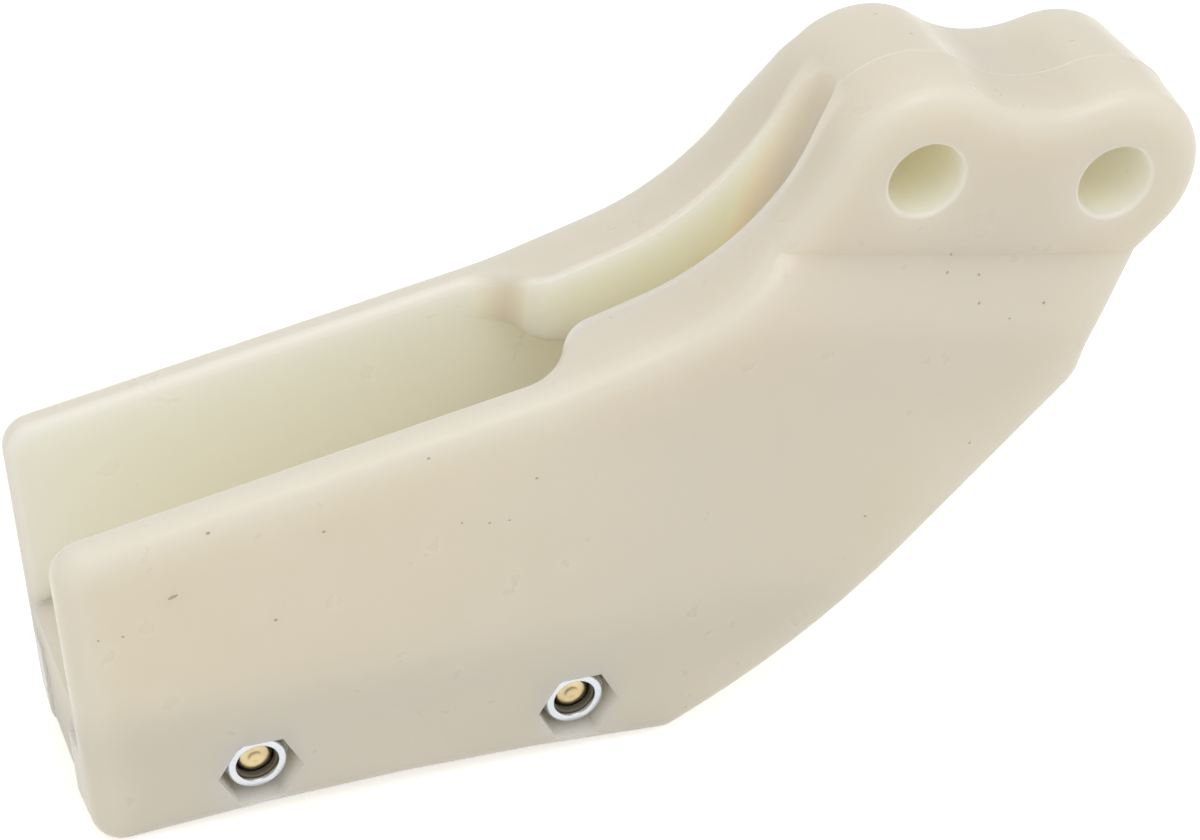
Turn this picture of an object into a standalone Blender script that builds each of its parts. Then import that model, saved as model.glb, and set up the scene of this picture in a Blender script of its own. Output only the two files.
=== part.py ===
# Chain guide for the swingarm of an off-road motorcycle.
# A one-piece moulded shell carries the chain in a wide channel, a bolted wear block is the channel's floor.
# Units are metres. X runs along the guide, from the open entry (-X) to the two mounting ears (+X).
# Y runs across the guide, the nuts face -Y. Z is up, and the guide stands on its lower edge at Z = 0.
import math

import bmesh
import bpy
from mathutils import Vector

MM = 0.001

# Overall sizes of the shell
LENGTH = 182.8 * MM
BODY_THICKNESS = 40.0 * MM
EAR_THICKNESS = 30.4 * MM
EDGE_FILLET = 3.9 * MM
WALL_DRAFT = math.radians(2.5)
PARTING_OFFSET = 4.0 * MM
CHORD_TOLERANCE = 0.03 * MM
FILLET_STEPS = 5

# Mounting ears
HOLE_HEIGHT = 96.9 * MM
HOLE_SPACING = 33.0 * MM
HOLE_LINE_FALL = math.radians(10.45)
BORE_RADIUS = 6.1 * MM
BORE_RIM = 0.8 * MM
EAR_RADIUS = 15.5 * MM
VALLEY_RADIUS = 20.7 * MM
RAMP_START = 13.0 * MM
RAMP_LENGTH = 10.0 * MM
RAMP_STEPS = 6

# Side view outline of the shell
ENTRY_LEAN = math.radians(5.4)
ENTRY_HEIGHT = 58.5 * MM
TOP_SLOPE = math.radians(11.3)
SHOULDER_SLOPE = math.radians(20.6)
SHOULDER_BACK = 54.2 * MM
SHOULDER_BEND = 190.0 * MM
FLANK_BACK = 33.5 * MM
FLANK_BEND = 21.9 * MM
NECK_DROP = 22.0 * MM
NECK_BACK = -0.1 * MM
NECK_BEND = 26.3 * MM
HEEL_DROP = 11.6 * MM
HEEL_SLOPE = math.radians(76.2)
EXIT_SLOPE = math.radians(47.2)
EXIT_BEND = 130.0 * MM
TOE_BEND_HEIGHT = 13.0 * MM
TOE_SLOPE = math.radians(28.3)
ARCH_RISE = 1.9 * MM
FACE_CORNER = 1.0 * MM
HEEL_CORNER = 3.0 * MM

# Chain channel, top slot and the seat of the wear block
CHANNEL_WIDTH = 27.6 * MM
SLOT_WIDTH = 11.6 * MM
CHANNEL_END_BACK = 62.3 * MM
CHANNEL_CORNER = 9.0 * MM
LIP_NOSE = 5.0 * MM
CEILING_HEIGHT = 64.6 * MM
CEILING_FALL = math.radians(10.45)
SLOT_END_WALL = 6.4 * MM
SLOT_END_LEAN = math.radians(15.0)
PLAN_STEPS = 7
SLOT_END_STEPS = 8

# Rounded rims of the channel's mouth, the slot and the exit
MOUTH_ROUNDING = 2.0 * MM
SLOT_ROUNDING = 0.5 * MM
SLOT_TAPER = 5.0 * MM
SLOT_END_SHARE = 0.2
ROUNDING_STEPS = 3
ROUNDING_BITE = 0.985
RIM_STEP = 5.0 * MM
RIM_FINE_STEP = 1.0 * MM
RIM_CLEAR = 3.0 * MM
MERGE_DISTANCE = 0.01 * MM

# Wear block
FIT_GAP = 0.3 * MM
FLOOR_HEIGHT = 25.0 * MM
FLOOR_LEAD_IN = 8.0 * MM
FLOOR_LEAD_SLOPE = math.radians(14.0)
BLOCK_RECESS = 0.4 * MM
BLOCK_EDGE = 0.8 * MM

# Bolts, lock nuts and their pockets
BOLT_HEIGHT = 10.3 * MM
BOLT_FROM_ENTRY = 30.45 * MM
BOLT_FROM_EARS = 52.4 * MM
BOLT_RADIUS = 3.0 * MM
BOLT_END_DEPTH = 1.5 * MM
BOLT_CHAMFER = 0.7 * MM
BOLT_DIMPLE_RADIUS = 1.1 * MM
BOLT_DIMPLE = 0.4 * MM
HEAD_ACROSS_FLATS = 10.0 * MM
HEAD_HEIGHT = 4.0 * MM
COUNTERBORE_RADIUS = 6.8 * MM
COUNTERBORE_DEPTH = 6.5 * MM
NUT_ACROSS_FLATS = 10.0 * MM
NUT_HEIGHT = 6.0 * MM
NUT_HEX_HEIGHT = 4.3 * MM
NUT_SINK = 2.0 * MM
NUT_FLOOR = 2.5 * MM
LEDGE_WEB = 0.1 * MM
NUT_POCKET_ACROSS_FLATS = 11.8 * MM
COLLAR_RADIUS = 4.75 * MM
COLLAR_LIP_RADIUS = 3.4 * MM
COLLAR_LIP = 0.5 * MM
COLLAR_EDGE = 0.3 * MM
INSERT_RADIUS = 3.9 * MM
INSERT_HEIGHT = 1.3 * MM
HEX_CHAMFER = 0.5 * MM
ROUND_SIDES = 36
HOLE_SIDES = 32
RIM_SIDES = 3
SHARP_EDGE = math.radians(35)
BLOCK_BEVEL_EDGE = math.radians(38)

# Places worked out from the sizes
HALF_LENGTH = LENGTH / 2
HALF_BODY = BODY_THICKNESS / 2
REAR_HOLE = Vector((HALF_LENGTH - EAR_RADIUS, HOLE_HEIGHT - HOLE_SPACING * math.sin(HOLE_LINE_FALL)))
FRONT_HOLE = Vector((REAR_HOLE.x - HOLE_SPACING * math.cos(HOLE_LINE_FALL), HOLE_HEIGHT))
BELOW_HOLES = Vector((-math.sin(HOLE_LINE_FALL), -math.cos(HOLE_LINE_FALL)))
BOLT_GAP_RADIUS = BOLT_RADIUS + FIT_GAP
NEAR_FACE = -HALF_BODY
NUT_SEAT = NEAR_FACE + NUT_SINK + NUT_HEIGHT
HEAD_SEAT = HALF_BODY - COUNTERBORE_DEPTH
SEAT_WIDTH = BODY_THICKNESS - 2 * (NUT_SINK + NUT_HEIGHT + NUT_FLOOR)
LEDGE_HEIGHT = BOLT_HEIGHT + COUNTERBORE_RADIUS + LEDGE_WEB
FILLET_CENTRE = HALF_BODY - EDGE_FILLET
PLATE_TOP = FILLET_CENTRE - CHANNEL_WIDTH / 2
MOUTH_RADIUS = min(MOUTH_ROUNDING, max(SLOT_ROUNDING, PLATE_TOP))
FACE_INSET = ((FILLET_CENTRE + PARTING_OFFSET + EDGE_FILLET * math.sin(WALL_DRAFT)) * math.tan(WALL_DRAFT)
              + EDGE_FILLET * math.cos(WALL_DRAFT))
CORNER_RADIUS = FACE_CORNER + FACE_INSET
ENTRY_DRAFT_INSET = (CHANNEL_WIDTH / 2 + MOUTH_ROUNDING - PARTING_OFFSET) * math.tan(WALL_DRAFT)
FOOT_DRAFT_INSET = (SEAT_WIDTH / 2 - PARTING_OFFSET) * math.tan(WALL_DRAFT)
OVERSHOOT = 10.0 * MM
SAME_PLACE = 0.01 * MM


def direction(angle):
    return Vector((math.cos(angle), math.sin(angle)))


def left_of(vector):
    return Vector((-vector.y, vector.x))


def meet(point, along, other, other_along):
    # where two straight lines cross
    across = left_of(other_along)
    return point + along * ((other - point).dot(across) / along.dot(across))


def tangent_point(point, centre, radius, side):
    # touching point on a circle of the line from an outside point, side +1 lies left of the way to the centre
    way = centre - point
    reach = way.length
    swing = math.acos(radius / reach)
    back = math.atan2(-way.y, -way.x)
    return centre + radius * direction(back - side * swing)


def round_corners(corners):
    # (point, radius) corners of a closed outline, anticlockwise, to (point, outward normal) pairs on its arcs
    path = []
    count = len(corners)
    for index, (corner, radius) in enumerate(corners):
        before = (corner - corners[index - 1][0]).normalized()
        after = (corners[(index + 1) % count][0] - corner).normalized()
        turn = math.atan2(before.x * after.y - before.y * after.x, before.dot(after))
        sense = math.copysign(1.0, turn)
        start = corner - before * radius * math.tan(abs(turn) / 2)
        centre = start + left_of(before) * radius * sense
        step = 2 * math.acos(1 - CHORD_TOLERANCE / radius)
        pieces = max(2, math.ceil(abs(turn) / step))
        first = start - centre
        for piece in range(pieces + 1):
            angle = turn * piece / pieces
            spoke = Vector((first.x * math.cos(angle) - first.y * math.sin(angle),
                            first.x * math.sin(angle) + first.y * math.cos(angle)))
            path.append((centre + spoke, spoke.normalized() * sense))
    return [path[index] for index in range(len(path)) if (path[index][0] - path[index - 1][0]).length > SAME_PLACE]


def outline_corners():
    # the shell's side view: entry end, arched foot, exit edge, heel, neck, two ears and the long top edge
    up_entry = direction(math.pi / 2 + ENTRY_LEAN)
    out_entry = left_of(up_entry)
    top_along = direction(TOP_SLOPE)
    top_centre = Vector((-HALF_LENGTH + CORNER_RADIUS - ENTRY_DRAFT_INSET,
                         ENTRY_HEIGHT - CORNER_RADIUS / math.cos(TOP_SLOPE)))
    entry_point = top_centre + out_entry * CORNER_RADIUS
    top_point = top_centre + left_of(top_along) * CORNER_RADIUS
    entry_top = meet(entry_point, up_entry, top_point, top_along)

    shoulder_x = FRONT_HOLE.x - SHOULDER_BACK
    shoulder = meet(top_point, top_along, Vector((shoulder_x, 0)), Vector((0, 1)))
    flank_x = FRONT_HOLE.x - FLANK_BACK
    flank = meet(shoulder, direction(SHOULDER_SLOPE), Vector((flank_x, 0)), Vector((0, 1)))

    neck = Vector((REAR_HOLE.x - NECK_BACK, REAR_HOLE.y - NECK_DROP))
    heel = neck - Vector((HEEL_DROP / math.tan(HEEL_SLOPE), HEEL_DROP))
    toe_bend = meet(heel, direction(EXIT_SLOPE), Vector((0, TOE_BEND_HEIGHT)), Vector((1, 0)))
    toe_along = direction(TOE_SLOPE)
    ground_line = Vector((0, CORNER_RADIUS - FOOT_DRAFT_INSET))
    entry_foot = meet(top_centre, up_entry, ground_line, Vector((1, 0)))
    toe_foot = meet(toe_bend + left_of(toe_along) * CORNER_RADIUS, toe_along, ground_line, Vector((1, 0)))
    arch_top = (entry_foot + toe_foot) / 2 + Vector((0, 2 * ARCH_RISE - CORNER_RADIUS))
    entry_touch = tangent_point(arch_top, entry_foot, CORNER_RADIUS, 1)
    toe_touch = tangent_point(arch_top, toe_foot, CORNER_RADIUS, -1)
    entry_ground = meet(arch_top, entry_touch - arch_top, entry_point, up_entry)
    toe_ground = meet(arch_top, toe_touch - arch_top, toe_bend, toe_along)
    arch_slope = math.atan2(arch_top.y - toe_touch.y, toe_touch.x - arch_top.x)
    arch_bend = (toe_touch - arch_top).length / math.tan(arch_slope)

    hole_way = REAR_HOLE - FRONT_HOLE
    valley_rise = math.sqrt((EAR_RADIUS + VALLEY_RADIUS) ** 2 - (HOLE_SPACING / 2) ** 2)
    valley_centre = FRONT_HOLE + hole_way / 2 - BELOW_HOLES * valley_rise
    front_way = (valley_centre - FRONT_HOLE).normalized()
    rear_way = (valley_centre - REAR_HOLE).normalized()
    front_change = FRONT_HOLE + front_way * EAR_RADIUS
    rear_change = REAR_HOLE + rear_way * EAR_RADIUS
    valley = meet(front_change, left_of(front_way), rear_change, left_of(rear_way))
    flank_touch = tangent_point(flank, FRONT_HOLE, EAR_RADIUS, 1)
    neck_touch = tangent_point(neck, REAR_HOLE, EAR_RADIUS, -1)
    front_ear = meet(flank, flank_touch - flank, front_change, left_of(front_way))
    rear_ear = meet(neck, neck_touch - neck, rear_change, left_of(rear_way))

    return [(entry_ground, CORNER_RADIUS), (arch_top, arch_bend), (toe_ground, CORNER_RADIUS),
            (toe_bend, EXIT_BEND), (heel, HEEL_CORNER + FACE_INSET), (neck, NECK_BEND),
            (rear_ear, EAR_RADIUS), (valley, VALLEY_RADIUS), (front_ear, EAR_RADIUS),
            (flank, FLANK_BEND), (shoulder, SHOULDER_BEND), (entry_top, CORNER_RADIUS)]


def draft_inset(y):
    # how far the outline has drawn in at a distance from the parting plane
    return abs(y + PARTING_OFFSET) * math.tan(WALL_DRAFT)


def edge_sections():
    # (y, inset of the outline) from the near face over its fillet, the parting line and the far fillet
    near = []
    far = []
    for step in range(FILLET_STEPS + 1):
        angle = WALL_DRAFT + (math.pi / 2 - WALL_DRAFT) * step / FILLET_STEPS
        reach = FILLET_CENTRE + EDGE_FILLET * math.sin(angle)
        turn_in = EDGE_FILLET * (math.cos(WALL_DRAFT) - math.cos(angle))
        wall_end = FILLET_CENTRE + EDGE_FILLET * math.sin(WALL_DRAFT)
        near.append((-reach, draft_inset(-wall_end) + turn_in))
        far.append((reach, draft_inset(wall_end) + turn_in))
    return near[::-1] + [(-PARTING_OFFSET, 0.0)] + far


def thickness_share(x, z):
    # share of the body's thickness at a place: full below the ramp, the ears' share above it, eased between
    drop = (Vector((x, z)) - FRONT_HOLE).dot(BELOW_HOLES)
    share = min(max((drop - RAMP_START) / RAMP_LENGTH, 0.0), 1.0)
    eased = share * share * (3 - 2 * share)
    ear_share = EAR_THICKNESS / BODY_THICKNESS
    return ear_share + (1 - ear_share) * eased


def new_object(name, mesh_data, material):
    mesh = bpy.data.meshes.new(name)
    bmesh.ops.recalc_face_normals(mesh_data, faces=mesh_data.faces)
    mesh_data.to_mesh(mesh)
    mesh_data.free()
    mesh.shade_smooth()
    mesh.set_sharp_from_angle(angle=SHARP_EDGE)
    item = bpy.data.objects.new(name, mesh)
    bpy.context.scene.collection.objects.link(item)
    if material:
        mesh.materials.append(material)
    return item


def make_cutter(name, mesh_data):
    item = new_object(name, mesh_data, None)
    item.hide_render = True
    item.display_type = "WIRE"
    return item


def cut(item, cutter, operation="DIFFERENCE"):
    modifier = item.modifiers.new(cutter.name, "BOOLEAN")
    modifier.operation = operation
    modifier.solver = "EXACT"
    modifier.object = cutter


def loft(rings, closed=False):
    # skins equal rings of points, and caps the first and last ring unless they meet
    mesh_data = bmesh.new()
    loops = [[mesh_data.verts.new(point) for point in ring] for ring in rings]
    pairs = list(zip(loops, loops[1:]))
    if closed:
        pairs.append((loops[-1], loops[0]))
    else:
        mesh_data.faces.new(loops[0])
        mesh_data.faces.new(loops[-1])
    for loop, following in pairs:
        for index in range(len(loop)):
            mesh_data.faces.new((loop[index - 1], loop[index], following[index], following[index - 1]))
    return mesh_data


def side_prism(points, low_y, high_y):
    # a side view outline pulled across the guide
    return loft([[(x, y, z) for x, z in points] for y in (low_y, high_y)])


def turned(centre, stations, closed=False, sides=ROUND_SIDES, phase=0.0):
    # a stack of (y, radius) rings about an axis along Y, where a radius may be a function of the angle
    rings = []
    for y, radius in stations:
        ring = []
        for index in range(sides):
            angle = phase + 2 * math.pi * index / sides
            reach = radius(angle) if callable(radius) else radius
            ring.append((centre.x + reach * math.cos(angle), y, centre.y + reach * math.sin(angle)))
        rings.append(ring)
    return loft(rings, closed)


def hexagon(across_flats, limit=1.0):
    # radius of a hexagon with corners at +X and -X, trimmed to a circle of the given limit
    def radius(angle):
        off_flat = (angle % (math.pi / 3)) - math.pi / 6
        return min(across_flats / 2 / math.cos(off_flat), limit)
    return radius


def make_material(name, colour, roughness, metallic=0.0):
    material = bpy.data.materials.new(name)
    material.use_nodes = True
    shader = material.node_tree.nodes["Principled BSDF"]
    shader.inputs["Base Color"].default_value = (*colour, 1.0)
    shader.inputs["Roughness"].default_value = roughness
    shader.inputs["Metallic"].default_value = metallic
    return material


def make_shell_blank():
    # the outline lofted across the guide with draft and filleted edges, then thinned to the ears over the ramp
    outline = round_corners(outline_corners())
    rings = []
    for y, inset in edge_sections():
        ring = []
        for point, outward in outline:
            place = point - outward * inset
            ring.append((place.x, y, place.y))
        rings.append(ring)
    blank = loft(rings)
    for step in range(RAMP_STEPS + 1):
        level = FRONT_HOLE + BELOW_HOLES * (RAMP_START + RAMP_LENGTH * step / RAMP_STEPS)
        everything = blank.verts[:] + blank.edges[:] + blank.faces[:]
        bmesh.ops.bisect_plane(blank, geom=everything, dist=1e-7, plane_co=(level.x, 0, level.y),
                               plane_no=(BELOW_HOLES.x, 0, BELOW_HOLES.y))
    for vertex in blank.verts:
        vertex.co.y *= thickness_share(vertex.co.x, vertex.co.z)
    return blank


def channel_plan():
    # half of the opening seen from above: wide channel, S-shaped step in, narrow slot with a round end
    wide = CHANNEL_WIDTH / 2
    narrow = SLOT_WIDTH / 2
    sweep = math.acos(1 - (wide - narrow) / (CHANNEL_CORNER + LIP_NOSE))
    start_x = FRONT_HOLE.x - CHANNEL_END_BACK
    half = [(-HALF_LENGTH - OVERSHOOT, wide)]
    for step in range(PLAN_STEPS + 1):
        angle = sweep * step / PLAN_STEPS
        half.append((start_x + CHANNEL_CORNER * math.sin(angle),
                     wide - CHANNEL_CORNER * (1 - math.cos(angle))))
    change_x, change_y = half[-1]
    for step in range(1, PLAN_STEPS + 1):
        angle = sweep * (1 - step / PLAN_STEPS)
        half.append((change_x + LIP_NOSE * (math.sin(sweep) - math.sin(angle)),
                     narrow + LIP_NOSE * (1 - math.cos(angle))))
    return half


def ceiling_at(x):
    # height of the tunnel's ceiling, which falls from the lip nose to the exit
    return CEILING_HEIGHT - (x - FRONT_HOLE.x + CHANNEL_END_BACK) * math.tan(CEILING_FALL)


def slot_end_at(z):
    # where the slot's closed end lies at a height, leaning along with the front of the ear
    at_hole = FRONT_HOLE.x - (BORE_RADIUS + SLOT_END_WALL) / math.cos(SLOT_END_LEAN)
    return at_hole + (z - FRONT_HOLE.y) * math.tan(SLOT_END_LEAN)


def slot_outline(half, height_at):
    # the opening seen from above as a closed ring, whose closed end leans with the height and is round
    narrow = SLOT_WIDTH / 2
    upper = [(x, y, height_at(x)) for x, y in half]
    z = height_at(slot_end_at(FRONT_HOLE.y))
    for step in range(SLOT_END_STEPS + 1):
        angle = math.pi / 2 * (1 - step / SLOT_END_STEPS)
        x = slot_end_at(z) - narrow * (1 - math.cos(angle))
        z = height_at(x)
        upper.append((x, narrow * math.sin(angle), z))
    return upper + [(x, -y, z) for x, y, z in reversed(upper[:-1])]


def make_channel_cutter():
    # the chain's way through in one solid: the wide channel below the ceiling and the shaped opening above it
    half = channel_plan()
    high_z = HOLE_HEIGHT + EAR_RADIUS + OVERSHOOT
    left = -HALF_LENGTH - OVERSHOOT
    right = HALF_LENGTH + OVERSHOOT
    wide = CHANNEL_WIDTH / 2
    mesh_data = bmesh.new()
    top = [mesh_data.verts.new(point) for point in slot_outline(half, lambda x: high_z)]
    rim = [mesh_data.verts.new(point) for point in slot_outline(half, ceiling_at)]
    far_right, near_right = [mesh_data.verts.new((right, y, ceiling_at(right))) for y in (wide, -wide)]
    floor = [mesh_data.verts.new((x, y, LEDGE_HEIGHT))
             for x, y in ((left, wide), (right, wide), (right, -wide), (left, -wide))]
    mesh_data.faces.new(top)
    for index in range(len(top)):
        mesh_data.faces.new((top[index - 1], top[index], rim[index], rim[index - 1]))
    mesh_data.faces.new([far_right, near_right] + rim[-2:0:-1])
    mesh_data.faces.new((rim[0], rim[1], far_right, floor[1], floor[0]))
    mesh_data.faces.new((rim[-1], rim[-2], near_right, floor[2], floor[3]))
    mesh_data.faces.new((far_right, near_right, floor[2], floor[1]))
    mesh_data.faces.new((rim[0], floor[0], floor[3], rim[-1]))
    mesh_data.faces.new(floor)
    return mesh_data


def half_width_at(x):
    # half width of the opening at a place along the guide, and how fast it changes there
    half = channel_plan()
    for (x0, y0), (x1, y1) in zip(half, half[1:]):
        if x0 <= x < x1:
            slope = (y1 - y0) / (x1 - x0)
            return y0 + slope * (x - x0), slope
    return SLOT_WIDTH / 2, 0.0


def stations_between(start, end, step):
    # (point, outward normal) pairs from one place on the outline up to the next
    pieces = math.ceil((end[0] - start[0]).length / step)
    return [(start[0].lerp(end[0], piece / pieces), start[1].lerp(end[1], piece / pieces).normalized())
            for piece in range(pieces)]


def sweep_rounding(rings):
    # the sliver between an edge and its rounding, from (corner, way into the gap, way out of the face, radius)
    loops = []
    for corner, inward, outward, radius in rings:
        loop = []
        for step in range(ROUNDING_STEPS + 1):
            angle = math.pi / 2 * step / ROUNDING_STEPS
            loop.append((radius * (math.cos(angle) - ROUNDING_BITE), radius * (math.sin(angle) - ROUNDING_BITE)))
        loop += [(-radius * ROUNDING_BITE, RIM_CLEAR), (RIM_CLEAR, RIM_CLEAR), (RIM_CLEAR, -radius * ROUNDING_BITE)]
        loops.append([corner + inward * into + outward * out for into, out in loop])
    return loft(loops)


def make_mouth_rounding(side):
    # along one rim of the opening: from the slot's closed end over the top edge and down the entry end
    outline = round_corners(outline_corners())
    rings = []
    for index, start in enumerate(outline):
        end = outline[(index + 1) % len(outline)]
        bend_near = FRONT_HOLE.x - CHANNEL_END_BACK < end[0].x + RIM_STEP and start[0].x < 0
        for point, outward in stations_between(start, end, RIM_FINE_STEP if bend_near else RIM_STEP):
            to_end = slot_end_at(point.y) - SLOT_WIDTH / 2 - point.x
            on_entry = outward.y <= 0 and outward.x < 0 and point.y > LEDGE_HEIGHT
            if to_end < 0 or not (outward.y > 0 or on_entry):
                continue
            half, slope = half_width_at(point.x)
            wide_share = (2 * half - SLOT_WIDTH) / (CHANNEL_WIDTH - SLOT_WIDTH)
            radius = SLOT_ROUNDING + (MOUTH_RADIUS - SLOT_ROUNDING) * wide_share
            radius *= min(1.0, SLOT_END_SHARE + to_end / SLOT_TAPER)
            place = point - outward * draft_inset(side * half)
            face = Vector((outward.x, 0, outward.y))
            wall = Vector((slope, -side, 0)).normalized()
            inward = (wall - face * wall.dot(face)).normalized()
            out = (face - wall * face.dot(wall)).normalized()
            rings.append((Vector((place.x, side * half, place.y)), inward, out, radius))
    return sweep_rounding(rings)


def make_exit_rounding():
    # round the tunnel's mouth: up one side of the exit edge, across under the ceiling and down the other side
    outline = round_corners(outline_corners())
    wide = CHANNEL_WIDTH / 2
    edge = []
    for start, end in zip(outline, outline[1:]):
        for point, outward in stations_between(start, end, RIM_STEP):
            if outward.x > 0 > outward.y and LEDGE_HEIGHT < point.y < ceiling_at(point.x) - 2 * RIM_CLEAR:
                edge.append((point, outward))
    foot, outward = edge[-1]
    along = left_of(outward)
    ceiling_way = Vector((math.cos(CEILING_FALL), -math.sin(CEILING_FALL)))
    top = meet(foot, along, Vector((0, ceiling_at(0))), ceiling_way)
    face = Vector((outward.x, 0, outward.y))
    under = Vector((-math.sin(CEILING_FALL), 0, -math.cos(CEILING_FALL)))
    under_in = (under - face * under.dot(face)).normalized()
    fall = Vector((ceiling_way.x, 0, ceiling_way.y))
    rings = []
    for side, stations in ((1, edge), (-1, edge[::-1])):
        wall = Vector((0, -side, 0))
        column = []
        for point, outward in stations:
            place = point - outward * draft_inset(side * wide)
            column.append((Vector((place.x, side * wide, place.y)), wall, fall, MOUTH_RADIUS))
        corner = meet(top - edge[-1][1] * draft_inset(side * wide), along, Vector((0, ceiling_at(0))), ceiling_way)
        mitre = (Vector((corner.x, side * wide, corner.y)), wall + under_in, fall, MOUTH_RADIUS)
        rings += column + [mitre] if side > 0 else [mitre] + column
    return sweep_rounding(rings)


def make_seat_cutter():
    # the narrower gap below the ledges that the stem of the wear block fills
    left = -HALF_LENGTH - OVERSHOOT
    right = HALF_LENGTH + OVERSHOOT
    points = [(left, -OVERSHOOT), (right, -OVERSHOOT), (right, LEDGE_HEIGHT + MM), (left, LEDGE_HEIGHT + MM)]
    half = SEAT_WIDTH / 2
    return side_prism(points, -half, half)


def make_bore_cutter(centre):
    # a mounting bore with a rounded rim on both ear faces
    face = EAR_THICKNESS / 2
    stations = [(-face - OVERSHOOT, BORE_RADIUS + BORE_RIM)]
    rim = []
    for step in range(RIM_SIDES + 1):
        angle = math.pi / 2 * step / RIM_SIDES
        rim.append((face + BORE_RIM * (math.cos(angle) - ROUNDING_BITE),
                    BORE_RADIUS + BORE_RIM * (1 - math.sin(angle))))
    stations += [(-y, radius) for y, radius in rim]
    stations += [(y, radius) for y, radius in reversed(rim)]
    stations.append((face + OVERSHOOT, BORE_RADIUS + BORE_RIM))
    return turned(centre, stations)


def make_hardware_cutter(centre):
    # through hole, hexagon pocket for the nut and round counterbore for the bolt head
    far = HALF_BODY + OVERSHOOT
    hole = turned(centre, [(-far, BOLT_GAP_RADIUS), (far, BOLT_GAP_RADIUS)], sides=HOLE_SIDES)
    pocket = turned(centre, [(-far, NUT_POCKET_ACROSS_FLATS / math.sqrt(3)),
                             (NUT_SEAT + FIT_GAP, NUT_POCKET_ACROSS_FLATS / math.sqrt(3))], sides=6)
    counterbore = turned(centre, [(HEAD_SEAT - FIT_GAP, COUNTERBORE_RADIUS), (far, COUNTERBORE_RADIUS)])
    return hole, pocket, counterbore


def bolt_centres():
    return {"front": Vector((FRONT_HOLE.x - BOLT_FROM_EARS, BOLT_HEIGHT)),
            "rear": Vector((BOLT_FROM_ENTRY - HALF_LENGTH, BOLT_HEIGHT))}


def make_shell(material):
    shell = new_object("shell", make_shell_blank(), material)
    cut(shell, make_cutter("cut_channel", make_channel_cutter()))
    cut(shell, make_cutter("cut_seat", make_seat_cutter()))
    for name, centre in (("front", FRONT_HOLE), ("rear", REAR_HOLE)):
        cut(shell, make_cutter("cut_bore_" + name, make_bore_cutter(centre)))
    for name, centre in bolt_centres().items():
        for part, shape in zip(("hole", "pocket", "counterbore"), make_hardware_cutter(centre)):
            cut(shell, make_cutter("cut_" + part + "_" + name, shape))
    cut(shell, make_cutter("round_near_rim", make_mouth_rounding(-1)))
    cut(shell, make_cutter("round_far_rim", make_mouth_rounding(1)))
    cut(shell, make_cutter("round_exit", make_exit_rounding()))
    merged = shell.modifiers.new("merge_slivers", "WELD")
    merged.merge_threshold = MERGE_DISTANCE
    return shell


def make_wear_block(material):
    # a T-shaped insert: its flange lies on the ledges and its stem fills the gap between the lower walls
    outline = round_corners(outline_corners())
    side = [point - outward * (BLOCK_RECESS + ENTRY_DRAFT_INSET) for point, outward in outline]
    flange_half = CHANNEL_WIDTH / 2 - FIT_GAP
    stem_half = SEAT_WIDTH / 2 - FIT_GAP
    block = new_object("wear_block", side_prism(side, -flange_half, flange_half), material)
    left = -HALF_LENGTH
    entry_x = left + FLOOR_LEAD_IN
    low_entry = FLOOR_HEIGHT - (FLOOR_LEAD_IN + OVERSHOOT) * math.tan(FLOOR_LEAD_SLOPE)
    floor = [(Vector((left - OVERSHOOT, -OVERSHOOT)), MM), (Vector((HALF_LENGTH, -OVERSHOOT)), MM),
             (Vector((HALF_LENGTH, FLOOR_HEIGHT)), MM), (Vector((entry_x, FLOOR_HEIGHT)), 2 * FLOOR_LEAD_IN),
             (Vector((left - OVERSHOOT, low_entry)), MM)]
    envelope = side_prism([point for point, outward in round_corners(floor)], -HALF_BODY, HALF_BODY)
    cut(block, make_cutter("keep_floor", envelope), "INTERSECT")
    for sign, name in ((-1, "near"), (1, "far")):
        under = [(left - OVERSHOOT, -OVERSHOOT), (HALF_LENGTH, -OVERSHOOT),
                 (HALF_LENGTH, LEDGE_HEIGHT + FIT_GAP), (left - OVERSHOOT, LEDGE_HEIGHT + FIT_GAP)]
        sides = sorted((sign * stem_half, sign * HALF_BODY))
        cut(block, make_cutter("cut_stem_" + name, side_prism(under, *sides)))
    softened = block.modifiers.new("edge_rounding", "BEVEL")
    softened.width = BLOCK_EDGE
    softened.segments = 2
    softened.limit_method = "ANGLE"
    softened.angle_limit = BLOCK_BEVEL_EDGE
    for name, centre in bolt_centres().items():
        hole = turned(centre, [(-HALF_BODY, BOLT_GAP_RADIUS), (HALF_BODY, BOLT_GAP_RADIUS)], sides=HOLE_SIDES)
        cut(block, make_cutter("cut_block_" + name, hole))
    return block


def make_bolt(name, centre, material):
    # hexagon head in the counterbore, plain shank, chamfered tip inside the nut
    tip = NUT_SEAT - NUT_HEIGHT + BOLT_END_DEPTH
    crown = HEAD_SEAT + HEAD_HEIGHT
    flat = HEAD_ACROSS_FLATS / 2
    corner = HEAD_ACROSS_FLATS / math.sqrt(3)
    stations = [(tip + BOLT_DIMPLE, BOLT_DIMPLE_RADIUS / 2), (tip, BOLT_DIMPLE_RADIUS),
                (tip, BOLT_RADIUS - BOLT_CHAMFER), (tip + BOLT_CHAMFER, BOLT_RADIUS),
                (HEAD_SEAT, BOLT_RADIUS), (HEAD_SEAT, hexagon(HEAD_ACROSS_FLATS)),
                (crown - HEX_CHAMFER, hexagon(HEAD_ACROSS_FLATS)),
                (crown - HEX_CHAMFER / 2, hexagon(HEAD_ACROSS_FLATS, (flat + corner) / 2)),
                (crown, flat - HEX_CHAMFER / 2)]
    return new_object("bolt_" + name, turned(centre, stations), material)


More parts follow.
